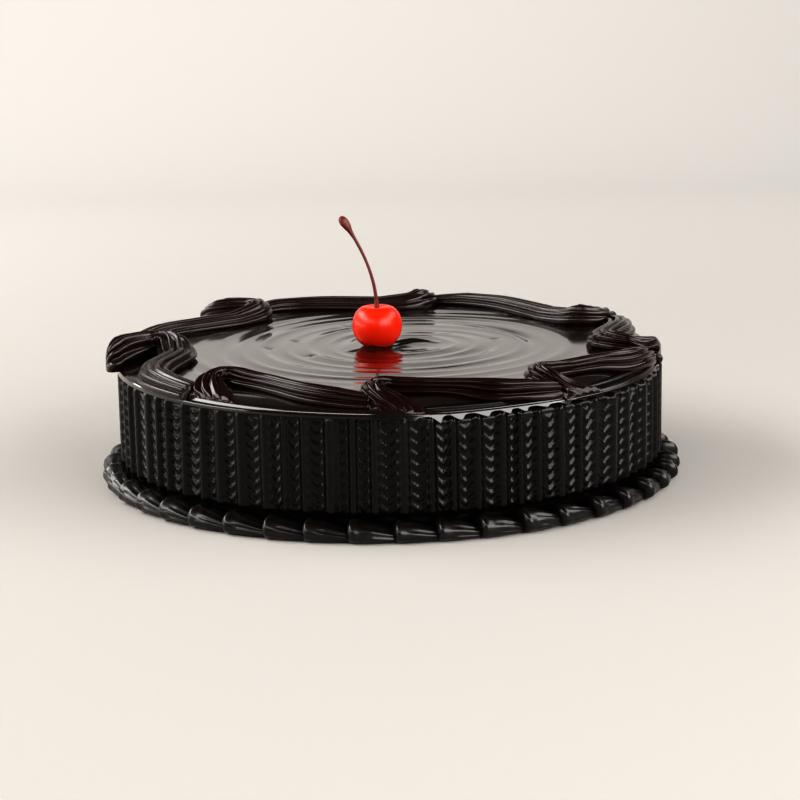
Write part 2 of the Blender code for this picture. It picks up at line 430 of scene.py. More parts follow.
def rim_opening(angle):
    """0 where the rim stands proud of the grooves, 1 where it is cut back and they run out."""
    azimuth = np.degrees(angle) % 360
    low, deepest, high = BACK_DIP
    dip = BACK_DIP_DEPTH * ease(low, deepest, azimuth) * (1 - ease(deepest, high, azimuth))
    return ease(*CUT_STARTS, azimuth) + dip + (1 - ease(*CUT_ENDS, azimuth))


def rim_edge(angle):
    """Radius and height of the edge over which the glaze rolls."""
    opening = rim_opening(angle)
    uneven = RIM_UNEVEN * MM * wander(angle, (3, 5, 8), 31)
    drop = (RIM_DROP + CUT_DROP * opening) * MM
    return (RIM_RADIUS - CUT_IN * opening) * MM, CAKE_TOP - drop + uneven


def top_height(radius, angle):
    """Height of the glazed top, and of the roll beyond its edge."""
    edge_radius, edge_height = rim_edge(angle)
    slope = np.clip((radius - FLAT_END) / (edge_radius - FLAT_END), 0, 1)
    beyond = np.clip(radius - edge_radius, 0, None)
    curve = slope**2 + (ease(0, ROUNDED_BY, slope) - slope**2) * rim_opening(angle)
    return CAKE_TOP - (CAKE_TOP - edge_height) * curve - ROLL_FALL * beyond


# Combed side

# Least and most of each random measure of the comb's work, in mm except where a part is meant
COMB_RANGES = {
    "rib_half": (0.85, 1.6),  # half width of a rib
    "rib_rise": (-0.2, 0.15),  # how much further out it stands than the usual one
    "rib_tip": (-0.4, 0.4),  # how much higher it ends
    "notch_start": (0, 1),  # where a row of notches starts, as a part of their pitch
    "notch_rise": (0.75, 1.15),  # how far they stand out, against the usual ones
    "notch_slope": (0.85, 1.2),  # how steeply their arms rise
}
RIB_FLANK = (0.5, 1.1)  # mm inside and outside its half width, where a rib's flank falls
CREST_ROUND = 0.12  # how far a crest falls to its edge, as a part of the rib
ARM_SHARPNESS = 1.8  # of a notch's arms: 1 is as wide as the gap between them
ARM_ENDS = (3, 4.2)  # mm from the groove, where the arms fade out
POINT_RISE, POINT_WIDTH = 0.15, 0.8  # a bead on the point of a V: extra rise as a part, and mm
NOTCH_FOOT = (8.6, 10)  # mm up, where the notches begin
NOTCH_HEAD = (40, 42)  # mm up, where they end, or this much lower where the rim is cut back
NOTCH_HEAD_DROP = 1.5
# How deep the notches are pressed, by azimuth in degrees
NOTCH_WEAR = (
    (0, 180, 215, 240, 262, 280, 295, 360),
    (1, 0.85, 0.75, 0.55, 0.45, 0.8, 1, 1),
)
SIDE_FOOT = 7  # mm up, where the plain foot ends
RIBS_FULL = 9.6  # mm up, from where the ribs stand out fully
# Where the rim stands proud, the ribs end under a plain band, in mm
BAND_DEPTH, BAND_WAVE, BAND_INSET = 3.3, 0.4, 0.6
BAND_EDGE = (0.8, 0.5)  # mm below and above the band's lower edge, where the ribs run out
# Where it is cut back, each rib ends in a round tip and the grooves run out inwards, in mm
TIP_DEPTH, TIP_BOW, TIP_LENGTH = 1.2, 0.9, 2
GROOVE_RUN, GROOVE_INSET = 4, 3
# The top of the side is tucked in under the roll of the glaze, in mm
TUCK_DEPTH, TUCK_LENGTH, TUCK_INSET = 1.9, 2, 2.6
LID = 45.8 * MM  # height of the hidden top under the glaze
LID_INSET = 8 * MM
SIDE_ROW = 0.45 * MM  # between rows of vertices up the side
VERTS_PER_RIB = 12


def rib_place(angle, ribs):
    """Hand combed ribs aren't evenly spaced: the angle at which an even column stands."""
    pitch = TURN / ribs
    drift = 0.12 * np.sin(9 * angle + 1) + 0.1 * np.sin(23 * angle + 4)
    return angle + pitch * drift


def comb_marks(ribs):
    """The random measures of each rib and of the notches in each groove, by name."""
    chance = np.random.default_rng(11)
    return {name: chance.uniform(*ends, ribs) for name, ends in COMB_RANGES.items()}


def notch_relief(s, angle, z, opening, from_groove, start, rise, slope):
    """How far the V notches stand out of a groove, which has its own start, rise and slope."""
    climb = (z - slope * from_groove) / s.notch_pitch + start
    arm = (0.5 + 0.5 * np.cos(TURN * climb)) ** ARM_SHARPNESS
    near, far = ARM_ENDS
    on_flank = 1 - ease(near * MM, far * MM, from_groove)
    point = 1 + POINT_RISE * hill(from_groove, POINT_WIDTH * MM)
    worn = np.interp(np.degrees(angle), *NOTCH_WEAR)
    (begin, begun), (fading, ended) = NOTCH_FOOT, NOTCH_HEAD
    raised = z + NOTCH_HEAD_DROP * MM * opening
    reach = ease(begin * MM, begun * MM, z) * (1 - ease(fading * MM, ended * MM, raised))
    return s.notch_height * rise * worn * arm * on_flank * point * reach


def comb_surface(s, angle, z):
    """Radius of the combed side."""
    pitch = TURN * s.radius / s.ribs
    column = angle / TURN * s.ribs % s.ribs
    rib = np.floor(column).astype(int) % s.ribs
    groove = np.round(column).astype(int) % s.ribs
    marks = comb_marks(s.ribs)
    rib_half, rib_rise, rib_tip = (
        marks[name][rib] * MM for name in ("rib_half", "rib_rise", "rib_tip")
    )
    notches = (marks[name][groove] for name in ("notch_start", "notch_rise", "notch_slope"))
    from_crest = np.abs(column - rib - 0.5) * pitch
    from_groove = np.abs(column - np.round(column)) * pitch
    opening = rim_opening(angle)
    edge_height = rim_edge(angle)[1]

    inside, outside = RIB_FLANK
    rib_form = 1 - ease(rib_half - inside * MM, rib_half + outside * MM, from_crest)
    rib_form -= CREST_ROUND * np.clip(from_crest / rib_half, 0, 1) ** 2
    above_foot = ease(SIDE_FOOT * MM, RIBS_FULL * MM, z)
    floor = s.foot_radius + (s.radius - s.rib_height - s.foot_radius) * above_foot
    floor = floor + notch_relief(s, angle, z, opening, from_groove, *notches)
    crest = s.foot_radius + (s.radius + rib_rise - s.foot_radius) * above_foot
    side = floor + (crest - floor) * rib_form

    wave = BAND_WAVE * MM * np.cos(from_groove / pitch * math.pi * 2)
    band_height = edge_height - BAND_DEPTH * MM + wave
    below, above = BAND_EDGE
    in_band = ease(-below * MM, above * MM, z - band_height)
    closed = side + (s.radius - BAND_INSET * MM - side) * in_band

    bow = TIP_BOW * MM * (from_crest / rib_half) ** 2
    tip = edge_height - TIP_DEPTH * MM + rib_tip - bow
    rounding = np.clip((z - tip + TIP_LENGTH * MM) / (TIP_LENGTH * MM), 0, 1)
    set_back = GROOVE_INSET * MM * ease(-GROOVE_RUN * MM, 0, z - edge_height)
    ribbed = rib_form * np.sqrt(1 - rounding**2)
    opened = (floor - set_back) * (1 - ribbed) + crest * ribbed

    surface = closed + (opened - closed) * np.clip(opening, 0, 1)
    under_roll = edge_height - TUCK_DEPTH * MM
    tucked = np.clip((z - under_roll) / (TUCK_LENGTH * MM), 0, 1) ** 2
    return surface - TUCK_INSET * MM * tucked * (1 - opening)


def add_combed_side(s):
    """The cake's solid body. Its side is ribbed, and its top lies hidden under the glaze."""
    rows = np.arange(SIDE_FOOT * MM, LID, SIDE_ROW)
    profile = [(0, 0), (s.foot_radius, 0), *((s.radius, z) for z in rows)]
    profile += [(s.radius - LID_INSET, LID), (0, LID)]
    bm = turned(profile, s.ribs * VERTS_PER_RIB)
    x, y, z = places_of(bm).T
    radius = np.hypot(x, y)
    angle = np.arctan2(y, x) % TURN
    on_side = radius > s.radius - 1 * MM

    # The upper rows follow the uneven rim a little
    z = np.where(on_side, z + 0.04 * (rim_edge(angle)[1] - 45 * MM) * (z / LID) ** 8, z)
    radius = np.where(on_side, comb_surface(s, angle, z), radius)
    lean = 0.004 * wander(angle, (3, 7, 11), 8) * (z / CAKE_TOP)  # the comb wasn't held upright
    angle = rib_place(angle, s.ribs) + np.where(on_side, lean, 0)
    place_round(bm, radius, angle, z)
    finish_piece("combed_side", bm, ganache("combed_ganache", s.colour), "cake")


# Poured glaze

SWIRL_CENTRE = (6.7 * MM, 2 * MM)
SWIRL_STARTS = (14, 21)  # mm out from the middle
SWIRL_FADES = (55, 85)  # mm out, where the marks get half as high
MARKS_END = (84, 95)  # mm from the cake's axis, where all marks run out
WIDE_RISE = 1.2  # a slower wave under the marks: its height against theirs, and
WIDE_PITCH = 0.44  # its turns for each of theirs
RING_OUT, RING_WIDTH, RING_RISE = 17, 2.4, 0.3  # mm, the first ring round the hollow
CREASE_OUT, CREASE_WIDTH, CREASE_DEPTH = 48, 1.8, 0.85  # mm, a crease at the back right
CREASE_AZIMUTH, CREASE_SPREAD = 23, 0.42  # degrees, and radians to either side
GLAZE_DIMPLES = ((-47, 0), (-37, 14), (-30, -17), (41, 12), (-18, 44))  # mm
DIMPLE_WIDTH, DIMPLE_DEPTH = 1.6, 0.35  # mm
RIDGE_LINE = ((-15, -8), (-9, -7.5), (-3, -3), (2, 4), (8, 9), (14, 9), (20, 4))  # mm
RIDGE_STOPS, RIDGE_RISES = (0, 0.25, 0.7, 1), (0.2, 1, 0.9, 0)  # its rise along that line
RIDGE_HEIGHT, RIDGE_WIDTH = 1.5, 1.5  # mm
HOLLOW_PLACE, HOLLOW_WIDTH, HOLLOW_DEPTH = (7, -1.5), 8.5, 0.55  # mm
# Where the rim is cut back: a thin round edge, a narrow ledge and the start of the drips, in mm
CUT_OUT = ((0, 0.15, 0.3, 0.42, 0.55, 0.7, 0.85, 1), (0, 0.33, 0.5, 0.56, 0.75, 1, 1.08, 1.15))
CUT_DOWN = ((0, 0.15, 0.3, 0.42, 0.55, 0.7, 0.85, 1), (0, 0.14, 0.35, 0.6, 0.72, 0.76, 0.86, 1))
ROLL_STARTS, ROLL_ENDS = 18, 88  # degrees from level
ROLL_STRETCH = 1.15  # the roll is this much taller than it is wide
DRIP_SHIFT = 0.6  # of a pitch, from the start of a drip to the groove that it runs into
DRIP_GROWS = 0.44  # a drip gets longer up to this part of its pitch,
DRIP_FALLS = (0.48, 0.64)  # and then is cut off
FAINT_DRIPS = (284, 302)  # degrees: beyond this stretch the drips are half as long
LONGEST_DRIP = 1.3
# How far the lip stands out and hangs down, in mm: at a whole rim, at a cut back one, at a drip
LIP_OUT, CUT_LIP_OUT, DRIP_OUT = 0.05, 0.1, 0.9
LIP_DOWN, CUT_LIP_DOWN, DRIP_DOWN = 0.5, 0.3, 2.3
SHEET_INSET, SHEET_DROP = 0.7, 0.3  # mm, from the lip to the sheet's underside
HIDDEN_RADIUS, HIDDEN_HEIGHT = 97, 43  # mm, the underside, inside the cake
RING_GAP = 0.85 * MM  # between rings of vertices over the top
SLOPE_RINGS, ROLL_RINGS, LIP_RINGS, UNDER_RINGS = 16, 12, 6, 3
COLUMNS_PER_RIB = 8


def ridge_relief(x, y):
    """The ridge that the cherry pushed up in the glaze, beside a shallow hollow."""
    share_along = np.linspace(0, 1, 80)
    line = through(RIDGE_LINE, share_along) * MM
    away = np.hypot(x[:, None] - line[:, 0], y[:, None] - line[:, 1])
    nearest = away.argmin(axis=1)
    rise = np.interp(share_along[nearest], RIDGE_STOPS, RIDGE_RISES)
    ridge = RIDGE_HEIGHT * MM * rise * hill(away.min(axis=1), RIDGE_WIDTH * MM)
    at_x, at_y = HOLLOW_PLACE
    hollow = np.hypot(x - at_x * MM, (y - at_y * MM) * 1.2) / (HOLLOW_WIDTH * MM)
    return ridge - HOLLOW_DEPTH * MM * np.exp(-(hollow**4))


def swirl_relief(s, x, y):
    """Marks of the spreading knife: a worn spiral round a hollow beside the cherry."""
    out = np.hypot(x - SWIRL_CENTRE[0], y - SWIRL_CENTRE[1])
    angle = np.arctan2(y - SWIRL_CENTRE[1], x - SWIRL_CENTRE[0])
    turns = out / s.swirl_pitch + angle / TURN + 0.12 * wander(angle, (1, 2, 3), 21)
    strength = 0.75 + 0.4 * wander(angle + out / (30 * MM), (1, 2, 4), 22)
    wave = np.cos(TURN * turns) + 0.25 * np.cos(2 * TURN * turns + 0.8)
    slower = WIDE_PITCH * TURN * out / s.swirl_pitch + wander(angle, (1, 2), 23)
    wide = WIDE_RISE * np.cos(slower)
    starts, fades = (ease(a * MM, b * MM, out) for a, b in (SWIRL_STARTS, SWIRL_FADES))
    relief = s.swirl_height * strength * (wave + wide) * (starts * (1 - 0.5 * fades))
    relief += RING_RISE * MM * hill(out - RING_OUT * MM, RING_WIDTH * MM)
    crease = hill(out - CREASE_OUT * MM, CREASE_WIDTH * MM)
    crease *= hill(angle - math.radians(CREASE_AZIMUTH), CREASE_SPREAD)
    relief -= CREASE_DEPTH * MM * crease
    for at_x, at_y in GLAZE_DIMPLES:
        near = np.hypot(x - at_x * MM, (y - at_y * MM) * 0.8)
        relief -= DIMPLE_DEPTH * MM * hill(near, DIMPLE_WIDTH * MM)
    return relief + ridge_relief(x, y)


def drip_creep(angle, opening, ribs):
    """How far the glaze crept down: 0 between drips, and about 1 at the end of one."""
    drip = (angle / TURN * ribs + DRIP_SHIFT) % 1
    tooth = np.clip(drip / DRIP_GROWS, 0, 1) * (1 - ease(*DRIP_FALLS, drip))
    uneven = 1 + 0.25 * wander(angle, (17, 29, 41), 32)
    runs = uneven * (1 - 0.5 * ease(*FAINT_DRIPS, np.degrees(angle)))
    return np.clip(opening * runs * tooth, 0, LONGEST_DRIP)


def share_of_rings(ring, before, count):
    """0 up to the ring before these ones, and 1 at the last of them."""
    return np.clip((ring - before + 1) / count, 0, 1)


def add_glaze(s, ribs):
    """A poured sheet over the top. It rolls over the rim, and runs down where that is cut back."""
    flat = np.arange(0, FLAT_END, RING_GAP)
    first_roll = len(flat) + SLOPE_RINGS
    first_lip = first_roll + ROLL_RINGS
    rings = first_lip + LIP_RINGS + UNDER_RINGS
    bm = turned([(ring, 0) for ring in range(rings + 1)], ribs * COLUMNS_PER_RIB)
    across, along, _ = places_of(bm).T
    ring = np.round(np.hypot(across, along)).astype(int)
    angle = np.arctan2(along, across) % TURN
    edge_radius = rim_edge(angle)[0]
    opening = np.clip(rim_opening(angle), 0, 1)

    flat_radius = flat[np.minimum(ring, len(flat) - 1)]
    slope = share_of_rings(ring, len(flat), SLOPE_RINGS)
    radius = np.where(slope > 0, FLAT_END + (edge_radius - FLAT_END) * slope, flat_radius)
    z = top_height(radius, angle)
    x, y = radius * np.cos(angle), radius * np.sin(angle)
    low, high = MARKS_END
    z = z + swirl_relief(s, x, y) * (1 - ease(low * MM, high * MM, radius))

    roll = share_of_rings(ring, first_roll, ROLL_RINGS)
    start, stop = math.radians(ROLL_STARTS), math.radians(ROLL_ENDS)
    tilt = start + (stop - start) * roll
    round_out = s.roll * (np.sin(tilt) - math.sin(start))
    round_down = ROLL_STRETCH * s.roll * (math.cos(start) - np.cos(tilt))
    cut_out, cut_down = (np.interp(roll, *pair) * MM for pair in (CUT_OUT, CUT_DOWN))
    radius = radius + round_out + (cut_out - round_out) * opening
    z = z - round_down - (cut_down - round_down) * opening

    lip = share_of_rings(ring, first_lip, LIP_RINGS)
    creep = drip_creep(angle, opening, ribs)
    lip_down = LIP_DOWN * (1 - opening) + CUT_LIP_DOWN * opening + DRIP_DOWN * creep
    radius = radius + lip * (LIP_OUT + CUT_LIP_OUT * opening + DRIP_OUT * creep) * MM
    z = z - lip * lip_down * MM
    under = ring - first_lip - LIP_RINGS
    radius = np.where(under == 0, radius - SHEET_INSET * MM, radius)
    radius = np.where(under == 1, HIDDEN_RADIUS * MM, radius)
    radius = np.where(under >= 2, 0, radius)
    z = np.where(under >= 1, HIDDEN_HEIGHT * MM, z - SHEET_DROP * MM * (under == 0))
    place_round(bm, radius, rib_place(angle, ribs), z)
    bmesh.ops.remove_doubles(bm, verts=bm.verts, dist=MERGE_DISTANCE)
    finish_piece("poured_glaze", bm, ganache("poured_glaze", s.colour), "cake")


# Piped swags

# Each hook: azimuth in degrees; size against the usual hook; height in mm; height of its start
# as a part of that; how much further out it starts, as a part of its reach; how far outside the
# circle its tail ends, in mm; and how deep its ridges are against the usual ones
HOOKS = (
    (231, 1, 6.9, 0, 0, 4.3, 1),
    (270.5, 1, 6.7, 0, 0, 4.3, 1.25),
    (310.5, 0.96, 7, 0, 0, 4.3, 1),
    (354, 1.1, 7.6, 0.8, 0, 4.3, 1.1),
    (30, 1, 8.4, 0.7, 0, 4.3, 0.6),
    (85, 1.05, 8, 0.4, 0, 4.3, 0.5),
    (133, 1.15, 8.4, 1, 0.2, 4.3, 0.5),
    (188, 1.16, 9.8, 1, 0.4, 8, 1.1),
)
# Middle line of a hook as (along the rim, outwards) from the hook's place, in mm. It starts at
# the rim, and turns back round a pinched point.
HOOK_LINE = (
    (3.6, 8.8),
    (-0.3, 5.6),
    (-4.2, 1.9),
    (-6.6, -2.1),
    (-6, -6.6),
    (-2.6, -9.6),
    (3, -10.3),
)
HOOK_TIP = 11 * MM  # how far the hook reaches back along the rim
TAIL_UNDER = 3.5 * MM  # how far a tail runs on under the next hook
ROPE_DRIFT = ((0.17, 0.03), (0.38, 0.3), (0.6, 0.7), (0.8, 0.93))  # (along, outwards), as parts
# From the start to the tail, at even steps: half widths and height against the full ones, and
# how far the inner side of the bend is filled up
OUTER_WIDTHS = (1.1, 1.05, 0.96, 0.84, 0.82, 0.92, 1, 1, 0.98, 0.96, 0.92, 0.8)
INNER_WIDTHS = (1.5, 1.4, 1.15, 0.85, 0.8, 0.92, 1, 1.02, 1, 0.97, 0.9, 0.75)
HEIGHTS = (0.28, 0.5, 0.7, 0.88, 1, 1, 1, 1, 1, 1, 0.96, 0.6)
BEND_FILL = (0, 0.1, 0.3, 0.42, 0.45, 0.42, 0.25, 0.05, 0, 0, 0, 0)
OVERHANG = 104 * MM  # beyond this radius a hook stands out over the side
NOSE = 0.11  # part of a swag over which its start is rounded off
PRESSED_OFF = 0.16  # part of a swag over which its start is pressed off along the rim
SUNK = 0.4  # mm into the glaze
LEVELLED = 0.7  # how much of the rim's slope a swag bridges
UNDERSIDE = -0.02  # level of a rope's underside against its height
ROUND_TOP = 0.75  # below 1 the section is fuller than an ellipse
ROUND_RIDGE = 0.65  # below 1 the ridges are broad and the valleys between them narrow
TORN_AT, TORN_WIDTH, TORN_RISE = 0.36, 0.1, 0.25  # parts of a swag and mm: edge of the bend
DRY_AZIMUTHS = (20, 190)  # degrees: between these the ganache is drier
HOOK_TO_ROPE = (0.42, 0.62)  # where a hook's height goes over into the rope's
EARLY_SWING = 0.7  # how much sooner a rope swings out if its hook reaches out
LOOK_AHEAD = 0.004  # to either side of a station, to find the direction there
SWAG_STATIONS = 150
POINTS_PER_RIDGE = 9
UNDERSIDE_POINTS = 8


def swag_route(run, size, next_size, reach, tail_out):
    """Middle line as (along the rim, outwards): a hook, then a rope that swings to the rim."""
    hook = [
        (along * size * MM, (out + reach * max(out, 0)) * size * MM) for along, out in HOOK_LINE
    ]
    begin, inward = hook[-1]
    end = run - HOOK_TIP * next_size + TAIL_UNDER
    way = (end - begin) / (1 + EARLY_SWING * reach)
    rope = [
        (begin + way * part, inward + (tail_out * MM - inward) * out) for part, out in ROPE_DRIFT
    ]
    return hook + rope + [(end, tail_out * MM)]


def swag_size(s, stations, size, hook_height, start_rise):
    """Outer half width, inner half width and height along a swag. It starts pressed flat."""
    steps = np.linspace(0, 1, len(HEIGHTS))
    grown = np.interp(stations, (0.5, 0.75), (size, 1 + (size - 1) * 0.5))
    outer = np.interp(stations, steps, OUTER_WIDTHS) * s.outer_width * grown
    inner = np.interp(stations, steps, INNER_WIDTHS) * s.inner_width * grown
    full = np.interp(stations, HOOK_TO_ROPE, (hook_height * MM, s.rope_height))
    rise = start_rise * (1 - 0.1 * ease(0.05, 0.4, stations))
    height = np.maximum(np.interp(stations, steps, HEIGHTS), rise * (stations < 0.45)) * full
    nose = np.sqrt(1 - (1 - np.clip(stations / NOSE, 0, 1)) ** 2)
    nose = 1 - start_rise * (1 - nose)
    return outer * nose, inner * nose, height * nose


def star_section(s, corner, station, seed):
    """Unit section of a rope from a star nozzle: (across, up, depth below the ridges)."""
    top_points = s.nozzle_teeth * POINTS_PER_RIDGE
    index = np.round(corner * (top_points + UNDERSIDE_POINTS))
    on_top = index <= top_points
    side = math.pi * np.clip(index / top_points, 0, 1)
    bottom = 2 * (index - top_points) / UNDERSIDE_POINTS - 1
    across = np.where(on_top, np.cos(side), bottom)
    up = np.where(on_top, np.sin(side) ** ROUND_TOP, UNDERSIDE)
    warp = 0.16 * np.sin(2 * side + seed) + 0.1 * np.sin(station * 9 + seed)
    lobes = np.abs(np.sin(s.nozzle_teeth * side + warp * on_top)) ** ROUND_RIDGE
    valley = np.where(on_top, 1 - lobes, 0)
    return across, up, valley


def route_sides(route, station):
    """Places on the route, and the direction at each to the inside of the hook's bend."""
    middle = through(route, station)
    ahead = through(route, station + LOOK_AHEAD) - through(route, station - LOOK_AHEAD)
    ahead /= np.linalg.norm(ahead, axis=1)[:, None]
    inside = np.column_stack((-ahead[:, 1], ahead[:, 0]))
    along_rim = (1 - ease(0, PRESSED_OFF, station))[:, None]
    inside = inside * (1 - along_rim) + np.array((1, 0)) * along_rim
    inside /= np.linalg.norm(inside, axis=1)[:, None]
    return middle, inside


def add_swag(s, number, hook, next_hook, skin):
    """One swag: a bar with the nozzle's section, bent round its route and laid on the cake."""
    azimuth, size, hook_height, start_rise, reach, tail_out, ridged = hook
    next_azimuth, next_size = next_hook[:2]
    run = math.radians((next_azimuth - azimuth) % 360) * s.circle
    points = s.nozzle_teeth * POINTS_PER_RIDGE + UNDERSIDE_POINTS
    bm, station, corner = bar(points, SWAG_STATIONS)
    middle, inside = route_sides(swag_route(run, size, next_size, reach, tail_out), station)

    across, up, valley = star_section(s, corner, station, number)
    fill = np.interp(station, np.linspace(0, 1, len(BEND_FILL)), BEND_FILL)
    inner_side = ease(0.25, 0.8, across) * (up >= 0)
    up = up + np.clip(fill - up, 0, None) * inner_side
    outer, inner, height = swag_size(s, station, size, hook_height, start_rise)
    # The hand's pressure wavers, and so does the depth of the ridges
    pulse = 1 + 0.012 * np.sin(station * 23 + number) + 0.01 * np.sin(station * 37 + 2 * number)
    depth = s.ridge_depth * ridged * (0.85 + 0.25 * np.sin(station * 7 + number) ** 2)
    form = pulse * (1 - depth * valley)
    half = np.where(across > 0, inner, outer)
    plan = middle + (across * half * form)[:, None] * inside
    angle = math.radians(azimuth) + plan[:, 0] / s.circle
    radius = s.circle + plan[:, 1]

    # Inside the bend the strands are torn into lumps
    torn = hill(station - TORN_AT, TORN_WIDTH) * ease(0.1, 0.6, across) * (up > 0.1)
    lumps = np.sin(station * 170 + number) + np.sin(across * 9 + station * 60)
    base = top_height(np.minimum(radius, OVERHANG), angle % TURN)
    level = LEVELLED * np.maximum(ease(0.05, 0.35, station), start_rise) * (CAKE_TOP - base)
    z = base - SUNK * MM + up * (height * form + level) + TORN_RISE * MM * torn * lumps
    place_round(bm, radius, angle, z)
    finish_piece(f"swag_{number}", bm, skin, f"piped_swag_{number}")


# Shell border

# From the head to the tail: a round lip, a crease behind it, then a body that tapers
SHELL_STOPS = (0, 0.14, 0.24, 0.32, 0.42, 0.6, 0.8, 1)
SHELL_TALL = (1, 1, 0.92, 0.89, 0.84, 0.68, 0.51, 0.38)
SHELL_WIDE = (1, 1, 0.92, 0.92, 0.9, 0.78, 0.62, 0.46)
SHELL_HALF_WIDTH = 5.8 * MM
SHELL_RUN = 1.34  # length against their spacing, so that each tail lies under the next head
SHELL_HEAD = 0.13  # part of a shell over which its head is rounded
SHELL_SLANT = 0.1  # how far a head leans back, against their spacing
SHELL_SWERVE = 0.9  # mm that a tail runs inwards
SHELL_RIDGES = 4.5  # ridges over half a shell
SHELL_RIDGE_DEPTH = 0.1
SHELL_MIDDLE = 0.4  # its widest level, as a part of its height
SHELL_SIDES, SHELL_STATIONS = 54, 34


def add_shells(s, skin):
    """Shells piped one over the next: a round head, then ridges that taper under its neighbour."""
    whole = bmesh.new()
    chance = np.random.default_rng(5)
    pitch = TURN / s.shells
    for number in range(s.shells):
        bm, station, corner = bar(SHELL_SIDES, SHELL_STATIONS)
        along = station**1.2  # more stations at the head
        bulk = chance.uniform(0.94, 1.04)
        twist, slide = chance.uniform(-0.25, 0.25), chance.uniform(-0.04, 0.04)
        head = np.sqrt(np.clip(1 - (1 - np.clip(along / SHELL_HEAD, 0, 1)) ** 2, 0, 1))
        tall, wide = (np.interp(along, SHELL_STOPS, sizes) for sizes in (SHELL_TALL, SHELL_WIDE))
        side = corner * TURN
        valley = 1 - np.abs(np.sin(SHELL_RIDGES * (side + twist))) ** 0.7
        form = head * bulk * (1 - SHELL_RIDGE_DEPTH * valley * ease(0.2, 0.4, along))
        up = np.sin(side)
        reach = np.where(up > 0, 1 - SHELL_MIDDLE, SHELL_MIDDLE)
        level = SHELL_MIDDLE + reach * np.sign(up) * np.abs(up) ** 0.85
        z = level * s.shell_height * tall * form
        out = SHELL_HALF_WIDTH * wide * form * np.cos(side)
        radius = s.shell_reach - SHELL_HALF_WIDTH - SHELL_SWERVE * MM * along + out
        angle = (number + slide + along * SHELL_RUN) * pitch
        angle = angle - SHELL_SLANT * pitch * (z / s.shell_height) * (1 - along)
        place_round(bm, radius, angle, z)
        mesh = bpy.data.meshes.new("shell")
        bm.to_mesh(mesh)
        bm.free()
        whole.from_mesh(mesh)
        bpy.data.meshes.remove(mesh)
    finish_piece("shells", whole, skin, "shell_border")


# Cherry

CHERRY_SINK = 0.6 * MM  # into the glaze
CHERRY_FULLNESS = 0.8  # below 1 the fruit is fuller than an ellipse
CHERRY_ROWS, CHERRY_COLUMNS = 49, 72
DIMPLE_SPREAD, DIMPLE_DROP = 0.4, 1.8  # radians from the top, and mm: where the stem goes in
STEM_SINK = 1.9 * MM  # below the height of the fruit without its dimple
STEM_BEND = 1.9  # 1 is a straight stem
STEM_STOPS = (0, 0.03, 0.1, 0.5, 0.78, 0.84, 0.89, 0.94, 0.98, 1)
STEM_RADII = (1.1, 0.9, 0.7, 0.56, 0.66, 0.95, 1.5, 1.75, 1.4, 0.6)  # mm
STEM_SIDES, STEM_STATIONS = 16, 70
STEM_CLEARANCE = 0.3 * MM  # below the top of the stem's node


def cherry_seat():
    """Middle of the cherry's place on the glaze."""
    low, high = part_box("cherry")
    return Vector(((low.x + high.x) / 2, (low.y + high.y) / 2, CAKE_TOP - CHERRY_SINK))


def add_cherry(s):
    """A turned fruit, dimpled where the stem goes in and a little uneven."""
    half = s.tall / 2
    polar = np.linspace(0, math.pi, CHERRY_ROWS)
    dimple = DIMPLE_DROP * MM * hill(polar, DIMPLE_SPREAD)
    rounded = s.across / 2 * np.sin(polar) ** CHERRY_FULLNESS
    profile = list(zip(rounded, half + half * np.cos(polar) - dimple))
    bm = turned(profile, CHERRY_COLUMNS)
    x, y, z = places_of(bm).T
    angle = np.arctan2(y, x)
    uneven = 1 + 0.018 * wander(angle, (1, 2, 3), 41) * np.sin(z / s.tall * math.pi)
    seat = cherry_seat()
    place_verts(bm, x * uneven + seat.x, y * uneven + seat.y, z + seat.z)
    finish_piece("cherry_fruit", bm, cherry_skin(s.colour), "cherry")


def add_stem(s):
    """A thin stalk that leans over to the left and ends in a torn knob."""
    bm, station, corner = bar(STEM_SIDES, STEM_STATIONS)
    seat = cherry_seat()
    foot_height = seat.z + s.tall - STEM_SINK
    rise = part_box("cherry_stem")[1].z - STEM_CLEARANCE - foot_height
    size = np.interp(station, STEM_STOPS, STEM_RADII) * MM
    side = corner * TURN
    size = size * (1 + 0.12 * np.sin(3 * side + station * 9) * ease(0.8, 0.95, station))
    lean = s.stem_lean * station**STEM_BEND
    slope = np.arctan2(STEM_BEND * s.stem_lean * station ** (STEM_BEND - 1), rise)
    x = seat.x - lean + size * np.cos(side) * np.cos(slope)
    z = foot_height + rise * station + size * np.cos(side) * np.sin(slope)
    y = seat.y + size * np.sin(side)
    place_verts(bm, x, y, z)
    finish_piece("stem", bm, stalk_bark(s.stem_colour), "cherry_stem")


# Stage

CAMERA_DISTANCE = 0.85  # metres in front of the cake's middle
CAMERA_HEIGHT = 0.2142  # metres
CAMERA_PITCH = -12.446  # degrees, like the next two
CAMERA_YAW = 0.251
CAMERA_ROLL = -1.03
FOCAL_PIXELS = 2236  # in the photo's frame of 800 pixels
FRAME_PIXELS = 800
SENSOR_WIDTH = 36  # mm
# The paper, in metres: how far behind the cake its wall stands, the radius of the sweep up to it,
# the wall's height, the paper's width, and how far it comes forward
WALL, SWEEP, WALL_TOP, PAPER_WIDTH, PAPER_FRONT = 1.35, 0.5, 0.75, 6, 3
SWEEP_STEPS = 15
SKY_COLOUR = "#F4F0EA"
SKY_STRENGTH = 0.08  # a little fill from all round
CAKE_MIDDLE = (0, 0, 0.05)
CAKE_LOW = (0, 0, 0.03)
WARM_WHITE = (1, 0.98, 0.95)
SOFT_WHITE = (1, 0.98, 0.96)
WARMER_WHITE = (1, 0.97, 0.93)
COOL_WHITE = (0.97, 0.98, 1)
